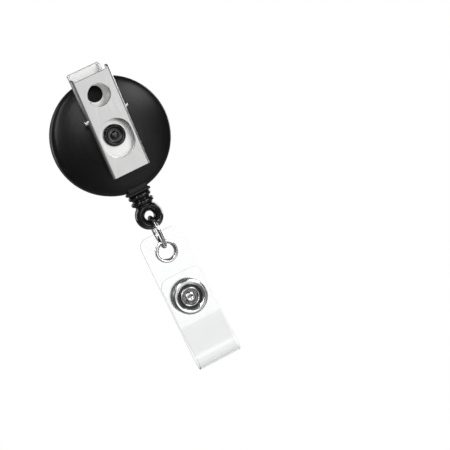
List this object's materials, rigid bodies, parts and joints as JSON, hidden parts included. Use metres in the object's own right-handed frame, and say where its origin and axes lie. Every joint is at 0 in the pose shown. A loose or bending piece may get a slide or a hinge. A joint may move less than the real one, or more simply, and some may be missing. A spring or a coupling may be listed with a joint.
{
  "type": "retractable badge reel",
  "caption": "Round retractable badge reel: swivelling belt clip on the back, sprung cord, bead, ring and a folded clear strap closed by a snap.",
  "frame": {"origin": "on the swivel axis, at the clip base plate's grip face", "axes": "+Y away from the case towards the clip's jaw, -Z the way the cord is pulled, the label faces -Y; stored hanging as worn"},
  "size_m": [0.0334, 0.0199, 0.0892],
  "materials": {
    "case_black": "satin",
    "fitting_black": "gloss",
    "rivet_black": "satin",
    "label_white": "matte",
    "spool_white": "matte",
    "spring_steel": "bright",
    "cord_black": "braided nylon",
    "clip_nickel": "nickel plated, fine grain",
    "ring_nickel": "nickel plated",
    "snap_nickel": "bright nickel",
    "vinyl_clear": "clear flexible vinyl"
  },
  "bodies": {
    "clip": {"clip_base_plate": "clip_nickel", "clip_hinge_pin": "clip_nickel", "clip_spring": "spring_steel", "swivel_washer": "clip_nickel"},
    "jaw": {"clip_jaw_plate": "clip_nickel"},
    "case": {"front_shell": "case_black", "rear_shell": "case_black", "label_disc": "label_white", "cord_guide": "case_black", "swivel_rivet": "rivet_black", "cord_inner_run": "cord_black"},
    "spool": {"spool": "spool_white", "cord_windings": "cord_black", "power_spring": "spring_steel"},
    "cord_end": {"cord_lead": "cord_black", "cord_knot": "cord_black"},
    "fitting": {"end_fitting": "fitting_black"},
    "ring": {"link_ring": "ring_nickel"},
    "strap": {"strap_main": "vinyl_clear", "strap_fold": "vinyl_clear", "grommet": "snap_nickel", "grommet_washer": "snap_nickel", "snap_post": "snap_nickel", "snap_stud": "snap_nickel"},
    "flap": {"strap_flap": "vinyl_clear", "snap_socket": "snap_nickel", "snap_cap": "snap_nickel"}
  },
  "joints": [
    {"name": "jaw_open", "type": "hinge", "parent": "clip", "child": "jaw", "pos_m": [0, 0.0034, 0.0061], "axis": [1, 0, 0], "range_deg": [0, 20], "stiffness_Nm_per_rad": 0.03, "springref_deg": -34.38, "deforming": ["clip_spring"]},
    {"name": "case_swivel", "type": "hinge", "parent": "clip", "child": "case", "pos_m": [0, 0, 0], "axis": [0, 1, 0], "continuous": true},
    {"name": "cord_pull", "type": "slide", "parent": "case", "child": "cord_end", "axis": [0, 0, -1], "range_m": [0, 0.86], "stiffness_N_per_m": 0.8, "springref_m": -0.6, "deforming": ["cord_lead"]},
    {"name": "spool_spin", "type": "hinge", "parent": "case", "child": "spool", "pos_m": [0, -0.0063, 0], "axis": [0, -1, 0], "range_deg": [0, 4342], "deforming": ["power_spring"]},
    {"name": "fitting_twist", "type": "hinge", "parent": "cord_end", "child": "fitting", "pos_m": [0, -0.0063, -0.02445], "axis": [0, 0, 1], "continuous": true},
    {"name": "ring_swing", "type": "hinge", "parent": "fitting", "child": "ring", "pos_m": [0, -0.0063, -0.02445], "axis": [0, 1, 0], "range_deg": [-90, 90]},
    {"name": "strap_swing", "type": "hinge", "parent": "ring", "child": "strap", "pos_m": [0, -0.0063, -0.02961], "axis": [1, 0, 0], "range_deg": [-65, 65]},
    {"name": "flap_open", "type": "hinge", "parent": "strap", "child": "flap", "pos_m": [0, -0.00355, -0.06642], "axis": [-1, 0, 0], "range_deg": [0, 150], "deforming": ["strap_fold"]}
  ],
  "couplings": [
    {"joint": "spool_spin", "follows": "cord_pull", "rad_per_m": 88}
  ]
}
